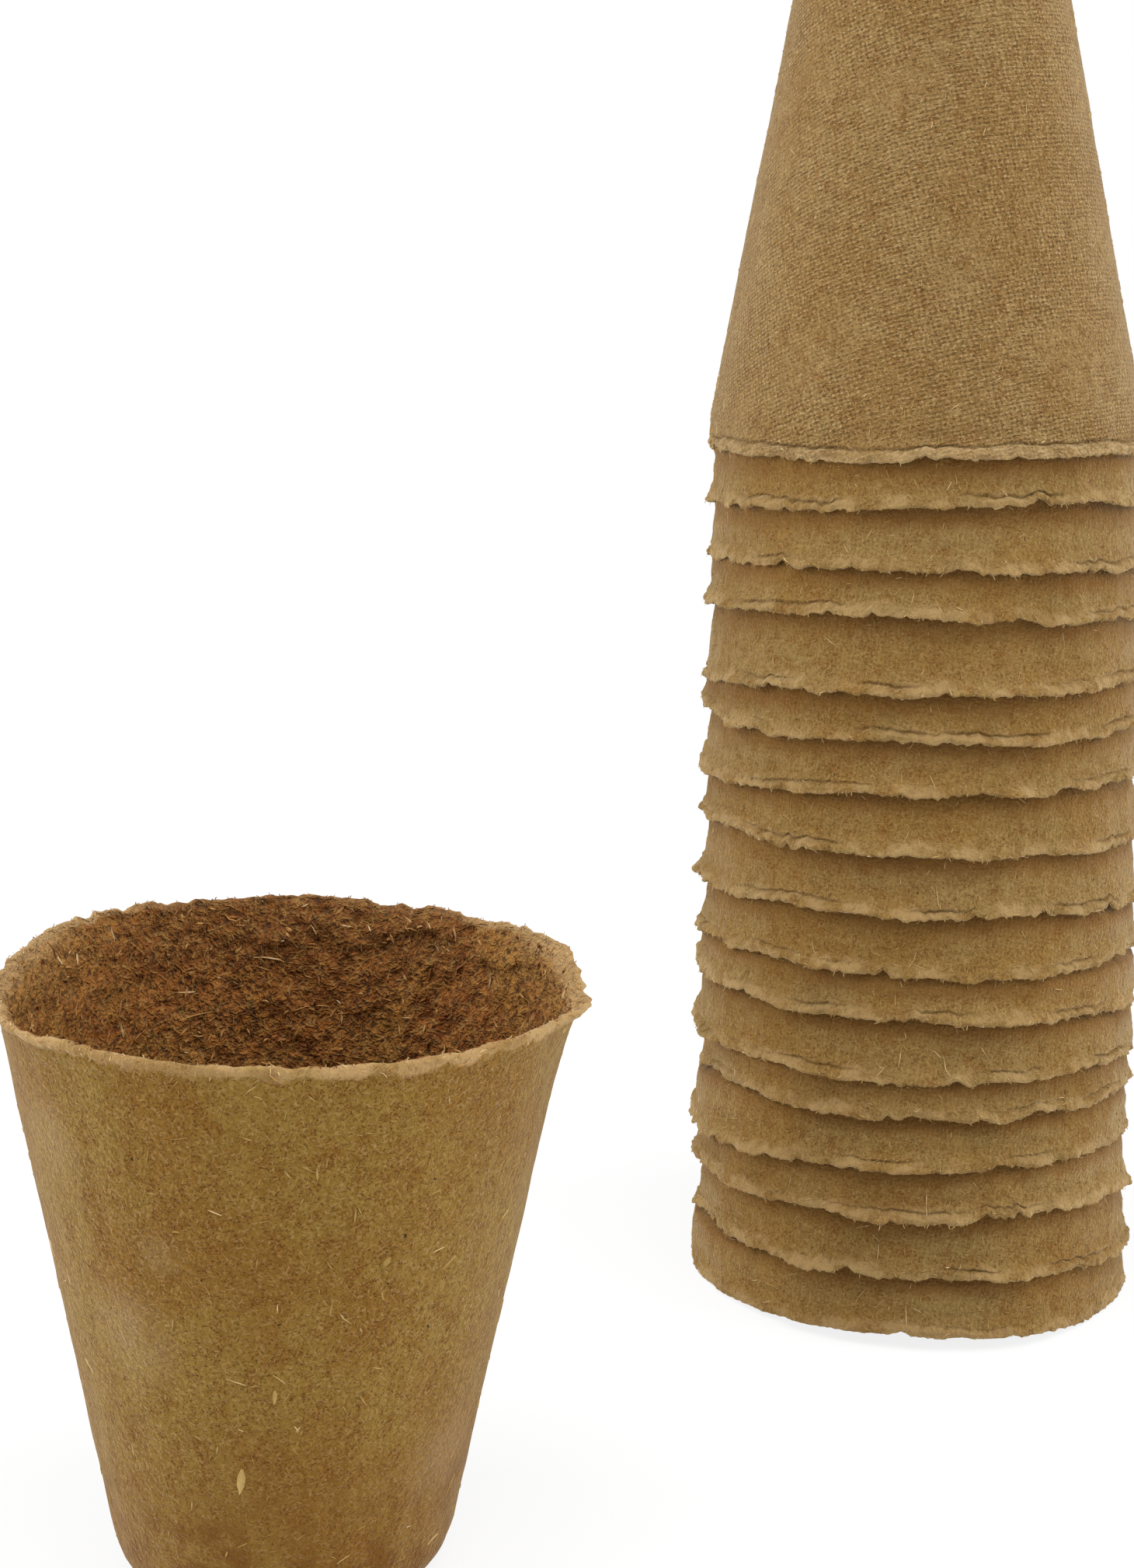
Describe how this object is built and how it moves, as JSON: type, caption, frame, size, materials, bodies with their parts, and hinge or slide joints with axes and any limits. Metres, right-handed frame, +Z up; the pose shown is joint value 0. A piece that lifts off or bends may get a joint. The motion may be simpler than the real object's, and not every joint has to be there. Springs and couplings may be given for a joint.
{
  "type": "peat pot set",
  "caption": "Set of round tapered seedling pots of moulded peat fibre with ragged rims: a tall stack nested upside down and a loose pot standing upright beside it.",
  "frame": {"origin": "on the table, at the centre of the set's footprint, midway between the loose pot's axis and the stack's axis", "axes": "+Z up along the stack, -Y the front that the picture looks at, +X to the right"},
  "size_m": [0.1852, 0.1756, 0.2367],
  "materials": {
    "peat_fibre": "rough felted pulp, matte, dry"
  },
  "bodies": {
    "loose_pot": {"loose_pot": "peat_fibre"},
    "stack_pot_01": {"stack_pot_01": "peat_fibre"},
    "stack_pot_02": {"stack_pot_02": "peat_fibre"},
    "stack_pot_03": {"stack_pot_03": "peat_fibre"},
    "stack_pot_04": {"stack_pot_04": "peat_fibre"},
    "stack_pot_05": {"stack_pot_05": "peat_fibre"},
    "stack_pot_06": {"stack_pot_06": "peat_fibre"},
    "stack_pot_07": {"stack_pot_07": "peat_fibre"},
    "stack_pot_08": {"stack_pot_08": "peat_fibre"},
    "stack_pot_09": {"stack_pot_09": "peat_fibre"},
    "stack_pot_10": {"stack_pot_10": "peat_fibre"},
    "stack_pot_11": {"stack_pot_11": "peat_fibre"},
    "stack_pot_12": {"stack_pot_12": "peat_fibre"},
    "stack_pot_13": {"stack_pot_13": "peat_fibre"},
    "stack_pot_14": {"stack_pot_14": "peat_fibre"},
    "stack_pot_15": {"stack_pot_15": "peat_fibre"},
    "stack_pot_16": {"stack_pot_16": "peat_fibre"},
    "stack_pot_17": {"stack_pot_17": "peat_fibre"}
  },
  "joints": [
    {"name": "loose_pot_lift", "type": "slide", "parent": "stack_pot_01", "child": "loose_pot", "axis": [0, 0, 1], "range_m": [0, 0.0842]},
    {"name": "stack_pot_02_lift", "type": "slide", "parent": "stack_pot_01", "child": "stack_pot_02", "axis": [0, 0, 1], "range_m": [0, 0.0842]},
    {"name": "stack_pot_03_lift", "type": "slide", "parent": "stack_pot_02", "child": "stack_pot_03", "axis": [0, 0, 1], "range_m": [0, 0.0842]},
    {"name": "stack_pot_04_lift", "type": "slide", "parent": "stack_pot_03", "child": "stack_pot_04", "axis": [0, 0, 1], "range_m": [0, 0.0842]},
    {"name": "stack_pot_05_lift", "type": "slide", "parent": "stack_pot_04", "child": "stack_pot_05", "axis": [0, 0, 1], "range_m": [0, 0.0842]},
    {"name": "stack_pot_06_lift", "type": "slide", "parent": "stack_pot_05", "child": "stack_pot_06", "axis": [0, 0, 1], "range_m": [0, 0.0842]},
    {"name": "stack_pot_07_lift", "type": "slide", "parent": "stack_pot_06", "child": "stack_pot_07", "axis": [0, 0, 1], "range_m": [0, 0.0842]},
    {"name": "stack_pot_08_lift", "type": "slide", "parent": "stack_pot_07", "child": "stack_pot_08", "axis": [0, 0, 1], "range_m": [0, 0.0842]},
    {"name": "stack_pot_09_lift", "type": "slide", "parent": "stack_pot_08", "child": "stack_pot_09", "axis": [0, 0, 1], "range_m": [0, 0.0842]},
    {"name": "stack_pot_10_lift", "type": "slide", "parent": "stack_pot_09", "child": "stack_pot_10", "axis": [0, 0, 1], "range_m": [0, 0.0842]},
    {"name": "stack_pot_11_lift", "type": "slide", "parent": "stack_pot_10", "child": "stack_pot_11", "axis": [0, 0, 1], "range_m": [0, 0.0842]},
    {"name": "stack_pot_12_lift", "type": "slide", "parent": "stack_pot_11", "child": "stack_pot_12", "axis": [0, 0, 1], "range_m": [0, 0.0842]},
    {"name": "stack_pot_13_lift", "type": "slide", "parent": "stack_pot_12", "child": "stack_pot_13", "axis": [0, 0, 1], "range_m": [0, 0.0842]},
    {"name": "stack_pot_14_lift", "type": "slide", "parent": "stack_pot_13", "child": "stack_pot_14", "axis": [0, 0, 1], "range_m": [0, 0.0842]},
    {"name": "stack_pot_15_lift", "type": "slide", "parent": "stack_pot_14", "child": "stack_pot_15", "axis": [0, 0, 1], "range_m": [0, 0.0842]},
    {"name": "stack_pot_16_lift", "type": "slide", "parent": "stack_pot_15", "child": "stack_pot_16", "axis": [0, 0, 1], "range_m": [0, 0.0842]},
    {"name": "stack_pot_17_lift", "type": "slide", "parent": "stack_pot_16", "child": "stack_pot_17", "axis": [0, 0, 1], "range_m": [0, 0.0842]}
  ]
}
